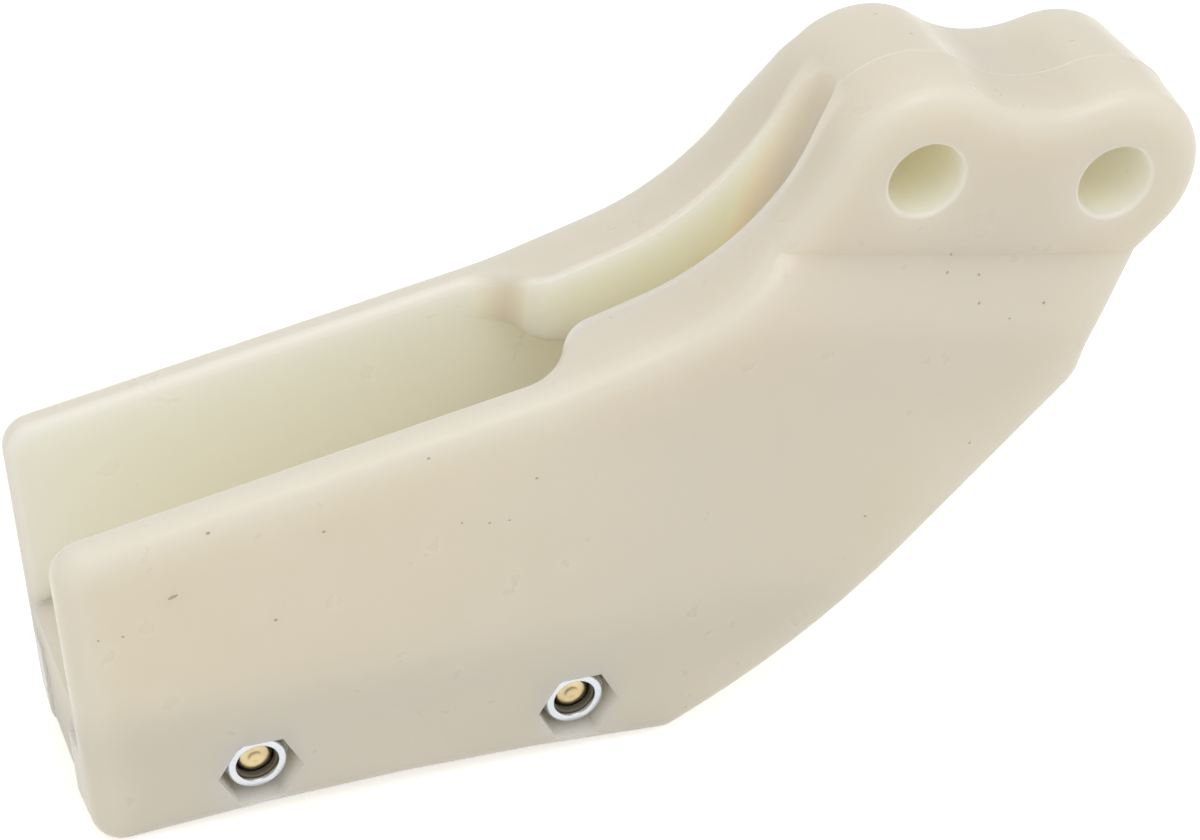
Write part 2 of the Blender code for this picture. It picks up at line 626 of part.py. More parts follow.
def make_nut(name, centre, material):
    # hexagon body with a turned collar whose lip traps the nylon insert
    seat = NUT_SEAT
    top = seat - NUT_HEIGHT
    hex_top = seat - NUT_HEX_HEIGHT
    flat = NUT_ACROSS_FLATS / 2
    corner = NUT_ACROSS_FLATS / math.sqrt(3)
    bore = BOLT_RADIUS + FIT_GAP
    groove = INSERT_RADIUS + FIT_GAP
    insert_floor = top + COLLAR_LIP + INSERT_HEIGHT + 2 * FIT_GAP
    body = hexagon(NUT_ACROSS_FLATS)
    eased = hexagon(NUT_ACROSS_FLATS, (flat + corner) / 2)
    stations = [(seat, bore), (seat, flat), (seat - HEX_CHAMFER / 2, eased), (seat - HEX_CHAMFER, body),
                (hex_top + HEX_CHAMFER, body), (hex_top + HEX_CHAMFER / 2, eased), (hex_top, flat),
                (hex_top - HEX_CHAMFER / 2, COLLAR_RADIUS), (top + COLLAR_EDGE, COLLAR_RADIUS),
                (top, COLLAR_RADIUS - COLLAR_EDGE), (top, COLLAR_LIP_RADIUS),
                (top + COLLAR_LIP, COLLAR_LIP_RADIUS), (top + COLLAR_LIP, groove),
                (insert_floor, groove), (insert_floor, bore)]
    return new_object("lock_nut_" + name, turned(centre, stations, closed=True), material)


def make_nut_insert(name, centre, material):
    # the nylon ring inside the nut's collar
    outer_end = NUT_SEAT - NUT_HEIGHT + COLLAR_LIP + FIT_GAP
    inner_end = outer_end + INSERT_HEIGHT
    bore = BOLT_RADIUS + FIT_GAP
    stations = [(outer_end, bore), (outer_end, INSERT_RADIUS), (inner_end, INSERT_RADIUS), (inner_end, bore)]
    return new_object("nut_insert_" + name, turned(centre, stations, closed=True), material)


def build():
    for item in list(bpy.data.objects):
        bpy.data.objects.remove(item, do_unlink=True)
    plastic = make_material("natural_plastic", (0.78, 0.74, 0.60), 0.38)
    wear_plastic = make_material("wear_plastic", (0.80, 0.77, 0.64), 0.42)
    zinc = make_material("bright_zinc", (0.62, 0.66, 0.70), 0.28, 1.0)
    yellow_zinc = make_material("yellow_zinc", (0.70, 0.58, 0.34), 0.32, 1.0)
    nylon = make_material("grey_nylon", (0.10, 0.10, 0.09), 0.45)
    make_shell(plastic)
    make_wear_block(wear_plastic)
    for name, centre in bolt_centres().items():
        make_bolt(name, centre, yellow_zinc)
        make_nut(name, centre, zinc)
        make_nut_insert(name, centre, nylon)


build()
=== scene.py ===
import bmesh
import bpy
import numpy as np
from mathutils import Matrix


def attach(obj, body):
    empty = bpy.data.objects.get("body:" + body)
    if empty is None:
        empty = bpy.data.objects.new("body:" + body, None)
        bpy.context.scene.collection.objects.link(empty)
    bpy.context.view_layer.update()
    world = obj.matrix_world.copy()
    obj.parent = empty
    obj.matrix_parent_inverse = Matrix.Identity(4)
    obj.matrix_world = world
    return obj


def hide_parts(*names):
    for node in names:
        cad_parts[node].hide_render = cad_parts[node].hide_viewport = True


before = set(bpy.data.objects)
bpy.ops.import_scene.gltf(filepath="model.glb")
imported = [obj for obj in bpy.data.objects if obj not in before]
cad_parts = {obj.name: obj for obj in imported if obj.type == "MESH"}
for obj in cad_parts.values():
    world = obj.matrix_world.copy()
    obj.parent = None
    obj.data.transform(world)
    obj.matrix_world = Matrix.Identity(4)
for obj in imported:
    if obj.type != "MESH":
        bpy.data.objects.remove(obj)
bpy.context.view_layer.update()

# a natural white moulded chain guide with two bolts, shown on a pale table
# shapes are worked out in millimetres in the frame's own axes, and scaled once when they become a mesh
mm = 0.001
reachPast = 10.0        # how far a cutter goes past the body
mergeDistance = 0.002   # points nearer than this become one after the cuts
levelDistance = 0.0001  # points nearer than this to a level lie on it


# plane geometry of the side view, where x runs along the guide and z is up

def unit(v):
    # a vector divided by its length, along the last axis
    return v / np.linalg.norm(v, axis=-1, keepdims=True)


def heading(degrees):
    # (cos, sin) of an angle
    return np.array([np.cos(np.radians(degrees)), np.sin(np.radians(degrees))])


def leftOf(v):
    # a quarter turn to the left
    return np.stack([-v[..., 1], v[..., 0]], axis=-1)


def crossing(point, along, other, otherAlong):
    # where two straight lines cross
    across = leftOf(otherAlong)
    return point + along * (np.dot(other - point, across) / np.dot(along, across))


def touchPoint(point, centre, radius, side):
    # where the line from an outside point touches a circle
    way = centre - point
    swing = np.arccos(radius / np.linalg.norm(way))
    return centre + radius * heading(np.degrees(np.arctan2(-way[1], -way[0]) - side * swing))


def refine(points, normals, step):
    # each span of a closed path is divided evenly into spans no longer than step
    nextPoints, nextNormals = np.roll(points, -1, 0), np.roll(normals, -1, 0)
    pieces = np.maximum(np.ceil(np.linalg.norm(nextPoints - points, axis=1) / step - 1e-6), 1).astype(int)
    which = np.repeat(np.arange(len(points)), pieces)
    first = np.repeat(np.cumsum(pieces) - pieces, pieces)
    share = ((np.arange(len(which)) - first) / pieces[which])[:, None]
    fine = points[which] * (1 - share) + nextPoints[which] * share
    return fine, unit(normals[which] * (1 - share) + nextNormals[which] * share)


def roundedPath(corners, radii, turnStep):
    # corner k becomes an arc: its centre plus the first spoke turned by 0 to the whole turn
    before = unit(corners - np.roll(corners, 1, 0))
    after = unit(np.roll(corners, -1, 0) - corners)
    turn = np.arctan2(before[:, 0] * after[:, 1] - before[:, 1] * after[:, 0], np.sum(before * after, axis=1))
    sense = np.sign(turn)
    start = corners - before * (radii * np.tan(np.abs(turn) / 2))[:, None]
    centre = start + leftOf(before) * (radii * sense)[:, None]
    spoke = start - centre
    pieces = np.maximum(np.ceil(np.abs(turn) / np.radians(turnStep)), 4).astype(int)
    which = np.repeat(np.arange(len(corners)), pieces + 1)
    first = np.repeat(np.cumsum(pieces + 1) - pieces - 1, pieces + 1)
    angle = turn[which] * (np.arange(len(which)) - first) / pieces[which]
    turned = np.stack([spoke[which, 0] * np.cos(angle) - spoke[which, 1] * np.sin(angle),
                       spoke[which, 0] * np.sin(angle) + spoke[which, 1] * np.cos(angle)], axis=1)
    return centre[which] + turned, unit(turned) * sense[which][:, None]


# putting arrays into meshes

def newPiece(name, vertices, faces, material=None):
    # vertices in millimetres and faces of any size become an object at the origin
    mesh = bpy.data.meshes.new(name)
    mesh.from_pydata((np.asarray(vertices, float) * mm).tolist(), [], faces)
    mesh.update()
    piece = bpy.data.objects.new(name, mesh)
    bpy.context.scene.collection.objects.link(piece)
    if material:
        mesh.materials.append(material)
    return piece


def gridFaces(rows, columns, wrapRows=False):
    # the four corners of each cell of a grid of points numbered row by row, where each row closes into a ring
    i = np.arange(rows if wrapRows else rows - 1)[:, None]
    j = np.arange(columns)[None, :]
    nextColumn = (j + 1) % columns
    row, rowAfter = i * columns, (i + 1) % rows * columns
    cells = np.stack([row + j, row + nextColumn, rowAfter + nextColumn, rowAfter + j], -1)
    return cells.reshape(-1, 4).tolist()


def gridPiece(name, grid, material=None, wrapRows=False):
    # a grid of points, rows closed into rings, skinned with quads and capped at its first and last ring
    rows, columns = grid.shape[:2]
    faces = gridFaces(rows, columns, wrapRows)
    if not wrapRows:
        faces.append(list(range(columns))[::-1])
        faces.append(list(range((rows - 1) * columns, rows * columns)))
    piece = newPiece(name, grid.reshape(-1, 3), faces, material)
    facesOutward(piece)
    return piece


def facesOutward(piece):
    shape = bmesh.new()
    shape.from_mesh(piece.data)
    bmesh.ops.recalc_face_normals(shape, faces=shape.faces)
    shape.to_mesh(piece.data)
    shape.free()


def smoothPiece(piece, sharpAngle=34):
    # smooth shading that stops at real edges, with large flat faces kept flat
    piece.data.shade_smooth()
    piece.data.set_sharp_from_angle(angle=np.radians(sharpAngle))
    weighted = piece.modifiers.new("flatFaces", "WEIGHTED_NORMAL")
    weighted.keep_sharp = True
    weighted.weight = 100


def carve(piece, cutters):
    # takes each cutter away in turn, and leaves one plain mesh
    for cutter in cutters:
        cut = piece.modifiers.new(cutter.name, "BOOLEAN")
        cut.operation = "DIFFERENCE"
        cut.solver = "MANIFOLD"
        cut.object = cutter
    bpy.context.view_layer.update()
    evaluated = piece.evaluated_get(bpy.context.evaluated_depsgraph_get())
    result = bpy.data.meshes.new_from_object(evaluated)
    piece.modifiers.clear()
    old = piece.data
    piece.data = result
    bpy.data.meshes.remove(old)
    for cutter in cutters:
        bpy.data.objects.remove(cutter, do_unlink=True)
    shape = bmesh.new()
    shape.from_mesh(piece.data)
    bmesh.ops.remove_doubles(shape, verts=shape.verts, dist=mergeDistance * mm)
    shape.to_mesh(piece.data)
    shape.free()


# the moulded shell

shell = dict(length=182.8, thickness=40.0, earThickness=30.4, fillet=3.9, draft=2.5, parting=-4.0,
             holeHeight=96.9, holeSpacing=33.0, holeFall=10.45, boreRadius=6.1, boreRim=0.8,
             earRadius=15.5, valleyRadius=20.7, rampStart=13.0, rampLength=12.0,
             farRampTurn=75.0, farRampStart=8.5, farRampLength=9.6,
             bead=0.11, beadHalf=0.22, beadFoot=4.0,
             entryLean=5.4, entryHeight=58.5, topSlope=11.3, shoulderSlope=17.3, shoulderBack=57.9,
             shoulderBend=80.0, flankBack=23.5, flankBend=43.6, neckDrop=22.0, neckBack=-0.1, neckBend=26.3,
             heelDrop=11.6, heelSlope=76.2, exitSlope=47.2, exitBend=130.0, toeBendHeight=13.0, toeSlope=28.3,
             archRise=1.9, faceCorner=1.0, heelCorner=3.0,
             channelWidth=27.6, slotWidth=11.6, channelEndBack=62.3, channelCorner=9.0, lipNose=5.0,
             ceilingHeight=64.6, ceilingFall=10.45, slotEndWall=6.4, slotEndLean=15.0,
             mouthRounding=2.0, slotRounding=0.35, slotTaper=5.0, taperStart=0.2, rimClear=3.0, rimStep=0.6,
             lipRounding=1.6, lipStart=1.0, lipEndDrop=12.0, lipStep=0.5,
             lipShare=0.45, lipLeast=0.03, lipClear=1.5,
             seatWidth=19.0, ledgeHeight=17.2, biteShare=0.6,
             turnStep=3.0, pathStep=1.5, shortestSpan=0.02,
             filletSteps=14, rampLevels=36, roundingSteps=9, ringSides=128)
hardware = dict(height=10.3, frontX=-8.95, rearX=-60.95, boltRadius=3.0, gap=0.3,
                headFlats=10.0, headHeight=4.0, headSeat=13.5, counterbore=6.8,
                nutFlats=10.0, nutHeight=6.0, nutHexHeight=4.3, nutSeat=-12.0, pocketFlats=11.8,
                collarRadius=4.75, collarFoot=0.12, lipRadius=3.4, lip=0.5, lipRoll=0.25, collarEdge=0.35,
                insertRadius=3.9, insertHeight=1.3, insertRound=0.25,
                tipDepth=1.5, tipChamfer=0.75, pitch=1.0, threadDepth=0.45,
                threadStart=0.16, threadLength=7.0, shankStart=7.3, chamfer=0.5, chamferStart=0.1,
                crownRadius=3.4, poleRadius=0.02, holeSides=64, sides=144)

halfLength = shell["length"] / 2
halfBody = shell["thickness"] / 2
holesAlong = shell["holeSpacing"] * heading(-shell["holeFall"])
rearHole = np.array([halfLength - shell["earRadius"], shell["holeHeight"] + holesAlong[1]])
frontHole = np.array([rearHole[0] - holesAlong[0], shell["holeHeight"]])
belowHoles = heading(-90 - shell["holeFall"])
farRampWay = heading(-90 - shell["holeFall"] - shell["farRampTurn"])
startOfBend = frontHole[0] - shell["channelEndBack"]

# where the drafted wall meets the fillet, and how far the outline has drawn in on the plate's face
draftAngle = np.radians(shell["draft"])
draftSlope = np.tan(draftAngle)
wallEnd = halfBody - shell["fillet"] + shell["fillet"] * np.sin(draftAngle)
faceInset = (wallEnd - shell["parting"]) * draftSlope + shell["fillet"] * np.cos(draftAngle)


def outlineCorners():
    # entry end, arched foot, exit edge, heel, neck, two ears and the long top edge
    # each is a corner between straight lines, with the radius that rounds it
    s = shell
    cornerRadius = s["faceCorner"] + faceInset
    entryInset = (s["channelWidth"] / 2 + s["mouthRounding"] + s["parting"]) * draftSlope
    footInset = (s["seatWidth"] / 2 + s["parting"]) * draftSlope
    across, upright = np.array([1.0, 0.0]), np.array([0.0, 1.0])
    upEntry, topAlong = heading(90 + s["entryLean"]), heading(s["topSlope"])
    topCentre = np.array([-halfLength + cornerRadius - entryInset,
                          s["entryHeight"] - cornerRadius / np.cos(np.radians(s["topSlope"]))])
    entryPoint = topCentre + leftOf(upEntry) * cornerRadius
    topPoint = topCentre + leftOf(topAlong) * cornerRadius
    entryTop = crossing(entryPoint, upEntry, topPoint, topAlong)
    shoulder = crossing(topPoint, topAlong, np.array([frontHole[0] - s["shoulderBack"], 0.0]), upright)
    flankPoint = np.array([frontHole[0] - s["flankBack"], 0.0])
    flank = crossing(shoulder, heading(s["shoulderSlope"]), flankPoint, upright)
    neck = rearHole + np.array([-s["neckBack"], -s["neckDrop"]])
    heel = neck - np.array([s["heelDrop"] / np.tan(np.radians(s["heelSlope"])), s["heelDrop"]])
    toeBend = crossing(heel, heading(s["exitSlope"]), np.array([0.0, s["toeBendHeight"]]), across)
    toeAlong = heading(s["toeSlope"])
    groundLine = np.array([0.0, cornerRadius - footInset])
    entryFoot = crossing(topCentre, upEntry, groundLine, across)
    toeFoot = crossing(toeBend + leftOf(toeAlong) * cornerRadius, toeAlong, groundLine, across)
    archTop = (entryFoot + toeFoot) / 2 + np.array([0.0, 2 * s["archRise"] - cornerRadius])
    entryTouch = touchPoint(archTop, entryFoot, cornerRadius, 1)
    toeTouch = touchPoint(archTop, toeFoot, cornerRadius, -1)
    entryGround = crossing(archTop, entryTouch - archTop, entryPoint, upEntry)
    toeGround = crossing(archTop, toeTouch - archTop, toeBend, toeAlong)
    archSlope = np.arctan2(archTop[1] - toeTouch[1], toeTouch[0] - archTop[0])
    archBend = np.linalg.norm(toeTouch - archTop) / np.tan(archSlope)
    valleyRise = np.sqrt((s["earRadius"] + s["valleyRadius"]) ** 2 - (s["holeSpacing"] / 2) ** 2)
    valleyCentre = (frontHole + rearHole) / 2 - belowHoles * valleyRise
    frontWay, rearWay = unit(valleyCentre - frontHole), unit(valleyCentre - rearHole)
    frontChange, rearChange = frontHole + frontWay * s["earRadius"], rearHole + rearWay * s["earRadius"]
    valley = crossing(frontChange, leftOf(frontWay), rearChange, leftOf(rearWay))
    flankTouch = touchPoint(flank, frontHole, s["earRadius"], 1)
    neckTouch = touchPoint(neck, rearHole, s["earRadius"], -1)
    frontEar = crossing(flank, flankTouch - flank, frontChange, leftOf(frontWay))
    rearEar = crossing(neck, neckTouch - neck, rearChange, leftOf(rearWay))
    corners = np.array([entryGround, archTop, toeGround, toeBend, heel, neck,
                        rearEar, valley, frontEar, flank, shoulder, entryTop])
    radii = np.array([cornerRadius, archBend, cornerRadius, s["exitBend"], s["heelCorner"] + faceInset,
                      s["neckBend"], s["earRadius"], s["valleyRadius"], s["earRadius"], s["flankBend"],
                      s["shoulderBend"], cornerRadius])
    return corners, radii


outline, outlineNormals = refine(*roundedPath(*outlineCorners(), shell["turnStep"]), shell["pathStep"])
apart = np.linalg.norm(outline - np.roll(outline, 1, 0), axis=1) > shell["shortestSpan"]
outline, outlineNormals = outline[apart], outlineNormals[apart]


def draftInset(y):
    # how far the outline has drawn in at a distance from the parting plane
    return np.abs(y - shell["parting"]) * draftSlope


def thicknessShare(x, z, far):
    # the ears' share grows to full along 1 - (1 - t)^2, where t runs down from a crease under the ears
    # on the far side it also grows towards the flank, along t^2 (3 - 2 t), and the larger one holds
    s = shell
    dx, dz = x - frontHole[0], z - frontHole[1]
    drop = np.clip((dx * belowHoles[0] + dz * belowHoles[1] - s["rampStart"]) / s["rampLength"], 0, 1)
    turned = np.clip((dx * farRampWay[0] + dz * farRampWay[1] - s["farRampStart"]) / s["farRampLength"], 0, 1)
    eased = 1 - (1 - drop) ** 2
    eased = np.where(far, np.maximum(eased, turned * turned * (3 - 2 * turned)), eased)
    earShare = s["earThickness"] / s["thickness"]
    return earShare + (1 - earShare) * eased


def makeBlank():
    # the outline drawn in by each section's inset, at each section's y
    # the sections run over a fillet, the drafted wall with its bead, and a fillet
    s = shell
    angle = np.linspace(draftAngle, np.pi / 2, s["filletSteps"] + 1)
    reach = halfBody - s["fillet"] + s["fillet"] * np.sin(angle)
    turnIn = s["fillet"] * (np.cos(draftAngle) - np.cos(angle))
    bead = np.array([-1.0, -0.5, 0.0, 0.5, 1.0])
    beadY = s["parting"] + s["beadHalf"] * bead
    y = np.concatenate([-reach[::-1], beadY, reach])
    nearInset, farInset = draftInset(-wallEnd) + turnIn, draftInset(wallEnd) + turnIn
    inset = np.concatenate([nearInset[::-1], draftInset(beadY), farInset])
    rise = np.concatenate([0 * reach, s["bead"] * (1 - bead ** 2), 0 * reach])
    offGround = np.clip(outline[:, 1] / s["beadFoot"] - 1, 0, 1)
    inset = inset[:, None] - rise[:, None] * offGround[None]
    place = outline[None] - outlineNormals[None] * inset[..., None]
    grid = np.stack([place[..., 0], np.broadcast_to(y[:, None], place.shape[:2]), place[..., 1]], axis=-1)
    blank = gridPiece("shell_body", grid)
    # the faces are cut along level lines, and each point's y is then scaled by its share of the thickness
    ramps = ((belowHoles, s["rampStart"], s["rampLength"]),
             (farRampWay, s["farRampStart"], s["farRampLength"]))
    shape = bmesh.new()
    shape.from_mesh(blank.data)
    for way, first, length in ramps:
        for drop in np.linspace(first, first + length, s["rampLevels"] + 1):
            level = (frontHole + way * drop) * mm
            everything = shape.verts[:] + shape.edges[:] + shape.faces[:]
            bmesh.ops.bisect_plane(shape, geom=everything, dist=levelDistance * mm,
                                   plane_co=(level[0], 0, level[1]), plane_no=(way[0], 0, way[1]))
    shape.to_mesh(blank.data)
    shape.free()
    points = np.empty(len(blank.data.vertices) * 3)
    blank.data.vertices.foreach_get("co", points)
    points = points.reshape(-1, 3)
    points[:, 1] *= thicknessShare(points[:, 0] / mm, points[:, 2] / mm, points[:, 1] > 0)
    blank.data.vertices.foreach_set("co", points.ravel())
    blank.data.update()
    return blank


def channelPlan(steps=22):
    # half of the opening seen from above: wide channel, an S of two arcs, then the narrow slot
    s = shell
    wide, narrow, corner, nose = s["channelWidth"] / 2, s["slotWidth"] / 2, s["channelCorner"], s["lipNose"]
    sweep = np.arccos(1 - (wide - narrow) / (corner + nose))
    angle = np.linspace(0, sweep, steps)
    first = np.column_stack([startOfBend + corner * np.sin(angle), wide - corner * (1 - np.cos(angle))])
    back = angle[::-1][1:]
    bendEnd = first[-1, 0] + nose * (np.sin(sweep) - np.sin(back))
    second = np.column_stack([bendEnd, narrow + nose * (1 - np.cos(back))])
    return np.concatenate([[[-halfLength - reachPast, wide]], first, second])


def ceilingAt(x):
    return shell["ceilingHeight"] - (x - startOfBend) * np.tan(np.radians(shell["ceilingFall"]))


def slotEndAt(z):
    # the slot's closed end leans along with the front of the ear
    lean = np.radians(shell["slotEndLean"])
    atHole = frontHole[0] - (shell["boreRadius"] + shell["slotEndWall"]) / np.cos(lean)
    return atHole + (z - frontHole[1]) * np.tan(lean)


def openingRing(level, steps=18):
    # the opening as a closed ring on a level, which is a height or the ceiling when None
    narrow = shell["slotWidth"] / 2
    plan = channelPlan()
    lean, fall = np.tan(np.radians(shell["slotEndLean"])), np.tan(np.radians(shell["ceilingFall"]))
    angle = np.linspace(np.pi / 2, 0, steps)
    back = narrow * (1 - np.cos(angle))
    if level is None:
        # on the falling ceiling the end's place and height depend on each other, so both lines are solved
        endX = (slotEndAt(0) + lean * ceilingAt(0) - back) / (1 + lean * fall)
        endZ = ceilingAt(endX)
        planZ = ceilingAt(plan[:, 0])
    else:
        endX = slotEndAt(level) - back
        endZ = np.full(steps, float(level))
        planZ = np.full(len(plan), float(level))
    end = np.column_stack([endX, narrow * np.sin(angle), endZ])
    half = np.concatenate([np.column_stack([plan, planZ]), end])
    mirrored = half[::-1][1:] * np.array([1, -1, 1])
    return np.concatenate([half, mirrored])


def makeChannelCutter():
    # one solid: the opening from above down to the ceiling, and the wide tunnel below it
    highZ = shell["holeHeight"] + shell["earRadius"] + reachPast
    left, right = -halfLength - reachPast, halfLength + reachPast
    wide, low, rightZ = shell["channelWidth"] / 2, shell["ledgeHeight"], ceilingAt(right)
    top, rim = openingRing(highZ), openingRing(None)
    n = len(top)
    extra = np.array([[right, wide, rightZ], [right, -wide, rightZ], [left, wide, low],
                      [right, wide, low], [right, -wide, low], [left, -wide, low]])
    a, b, f0, f1, f2, f3 = range(2 * n, 2 * n + 6)
    walls = [[i, (i + 1) % n, n + (i + 1) % n, n + i] for i in range(n)]
    roof = [a, b] + list(range(2 * n - 2, n, -1))
    sides = [[n, n + 1, a, f1, f0], [2 * n - 1, 2 * n - 2, b, f2, f3]]
    ends = [[a, b, f2, f1], [n, f0, f3, 2 * n - 1]]
    faces = walls + [list(range(n)), roof] + sides + ends + [[f0, f1, f2, f3]]
    cutter = newPiece("cutChannel", np.concatenate([top, rim, extra]), faces)
    facesOutward(cutter)
    return cutter


def boxCutter(name, low, high):
    # a plain box between two corners
    low, high = np.asarray(low, float), np.asarray(high, float)
    pick = np.array([[0, 0, 0], [1, 0, 0], [1, 1, 0], [0, 1, 0], [0, 0, 1], [1, 0, 1], [1, 1, 1], [0, 1, 1]])
    faces = [[0, 3, 2, 1], [4, 5, 6, 7], [0, 1, 5, 4], [1, 2, 6, 5], [2, 3, 7, 6], [3, 0, 4, 7]]
    return newPiece(name, low + pick * (high - low), faces)


def turnedGrid(centre, y, radius, sides):
    # ring k has its own y and radius about an axis along y, and the radius may differ round the ring
    angle = np.linspace(0, 2 * np.pi, sides, endpoint=False)
    radius = np.asarray(radius, float)
    radius = np.broadcast_to(radius if radius.ndim == 2 else radius[:, None], (len(y), sides))
    y = np.broadcast_to(np.asarray(y, float)[:, None], radius.shape)
    return np.stack([centre[0] + radius * np.cos(angle), y, centre[1] + radius * np.sin(angle)], axis=-1)


def biteOf(angle):
    # the arc's centre stands this share of the radius from both faces, so that its end spans still cut them
    return 1 - shell["biteShare"] * (1 - np.cos(angle[1]))


def roundingRings(corner, inward, outward, radius, clear):
    # round each corner point, an arc r (cos a - bite), r (sin a - bite), closed by three points outside
    angle = np.linspace(0, np.pi / 2, shell["roundingSteps"] + 1)
    bite = biteOf(angle)
    radius = np.asarray(radius, float)[:, None]
    past, back = 0 * radius + clear, -radius * bite
    into = np.concatenate([radius * (np.cos(angle) - bite), back, past, past], axis=1)
    out = np.concatenate([radius * (np.sin(angle) - bite), past, past, back], axis=1)
    return corner[:, None] + inward[:, None] * into[..., None] + outward[:, None] * out[..., None]


def halfWidthAt(x):
    # half width of the opening and how fast it changes there
    plan = channelPlan()
    half = np.interp(x, plan[:, 0], plan[:, 1])
    slope = (np.interp(x + 0.05, plan[:, 0], plan[:, 1]) - np.interp(x - 0.05, plan[:, 0], plan[:, 1])) / 0.1
    return half, slope


def wallRounding(name, side, corner, face, slope, radius, clear):
    # between a face, given by its normals, and the opening's upright wall, whose half width changes by slope
    wall = unit(np.column_stack([slope, 0 * slope - side, 0 * slope]))
    lean = np.sum(wall * face, axis=1, keepdims=True)
    rings = roundingRings(corner, unit(wall - face * lean), unit(face - wall * lean), radius, clear)
    return gridPiece(name + ("Far" if side > 0 else "Near"), rings)


def endTaper(toEnd):
    # a rounding grows from a small share of its radius at the slot's closed end
    return np.minimum(1, shell["taperStart"] + toEnd / shell["slotTaper"])


def mouthRounding(side):
    # along one rim of the opening: from the slot's closed end over the top edge and down the entry end
    s = shell
    points, normals = refine(outline, outlineNormals, s["rimStep"])
    toEnd = slotEndAt(points[:, 1]) - s["slotWidth"] / 2 - points[:, 0]
    onEntry = (normals[:, 1] <= 0) & (normals[:, 0] < 0) & (points[:, 1] > s["ledgeHeight"])
    keep = (toEnd > 0) & ((normals[:, 1] > 0) | onEntry)
    points, normals, toEnd = points[keep], normals[keep], toEnd[keep]
    half, slope = halfWidthAt(points[:, 0])
    wideShare = (2 * half - s["slotWidth"]) / (s["channelWidth"] - s["slotWidth"])
    radius = (s["slotRounding"] + (s["mouthRounding"] - s["slotRounding"]) * wideShare) * endTaper(toEnd)
    place = points - normals * draftInset(side * half)[:, None]
    corner = np.column_stack([place[:, 0], side * half, place[:, 1]])
    face = np.column_stack([normals[:, 0], 0 * half, normals[:, 1]])
    return wallRounding("roundRim", side, corner, face, slope, radius, s["rimClear"])


def lipRounding(side):
    # along the lower edge of the S and the slot, between their upright wall and the falling ceiling
    s = shell
    end = slotEndAt(s["ceilingHeight"] - s["lipEndDrop"]) - s["slotWidth"] / 2
    x = np.arange(startOfBend + s["lipStart"], end, s["lipStep"])
    half, slope = halfWidthAt(x)
    room = s["channelWidth"] / 2 - half
    radius = np.minimum(s["lipRounding"], s["lipShare"] * room) * endTaper(x[-1] - x)
    keep = radius > s["lipLeast"]
    x, half, slope, radius = x[keep], half[keep], slope[keep], radius[keep]
    corner = np.column_stack([x, side * half, ceilingAt(x)])
    fall = np.radians(s["ceilingFall"])
    face = np.broadcast_to(np.array([-np.sin(fall), 0.0, -np.cos(fall)]), corner.shape)
    return wallRounding("roundLip", side, corner, face, slope, radius, s["lipClear"])


def makeBoreCutter(name, centre):
    # a bore whose rims are rounded on both ear faces
    face, rim, r = shell["earThickness"] / 2, shell["boreRim"], shell["boreRadius"]
    angle = np.linspace(0, np.pi / 2, 8)
    y = np.concatenate([[face + reachPast], face + rim * (np.cos(angle) - biteOf(angle))])
    radius = np.concatenate([[r + rim], r + rim * (1 - np.sin(angle))])
    y, radius = np.concatenate([-y, y[::-1]]), np.concatenate([radius, radius[::-1]])
    return gridPiece(name, turnedGrid(centre, y, radius, shell["ringSides"]))


def hexagonRadius(acrossFlats, angle):
    # distance from the axis to a hexagon's side, with corners along x
    return acrossFlats / 2 / np.cos(np.mod(angle, np.pi / 3) - np.pi / 6)


boltCentres = {side: np.array([hardware[side + "X"], hardware["height"]]) for side in ("front", "rear")}


def hardwareCutters(name, centre):
    # through hole, hexagon pocket for the nut and counterbore for the bolt head
    h = hardware
    far = halfBody + reachPast
    hole = turnedGrid(centre, [-far, far], [h["boltRadius"] + h["gap"]] * 2, h["holeSides"])
    pocket = turnedGrid(centre, [-far, h["nutSeat"] + h["gap"]], [h["pocketFlats"] / np.sqrt(3)] * 2, 6)
    headFloor = h["headSeat"] - h["gap"]
    counterbore = turnedGrid(centre, [headFloor, far], [h["counterbore"]] * 2, shell["ringSides"])
    return [gridPiece(kind + name, grid) for kind, grid in
            (("hole", hole), ("pocket", pocket), ("counterbore", counterbore))]


def makeShell(material):
    # the blank less its channel, seat, bores, bolt holes and roundings
    piece = makeBlank()
    edge = halfLength + reachPast
    half = shell["seatWidth"] / 2
    seat = boxCutter("cutSeat", (-edge, -half, -reachPast), (edge, half, shell["ledgeHeight"] + 1))
    cutters = [makeChannelCutter(), seat]
    cutters += [makeBoreCutter("boreFront", frontHole), makeBoreCutter("boreRear", rearHole)]
    for name, centre in boltCentres.items():
        cutters += hardwareCutters(name, centre)
    cutters += [mouthRounding(-1), mouthRounding(1), lipRounding(-1), lipRounding(1)]
    carve(piece, cutters)
    piece.data.materials.clear()
    piece.data.materials.append(material)
    smoothPiece(piece)
    return piece


# nuts, inserts and bolts

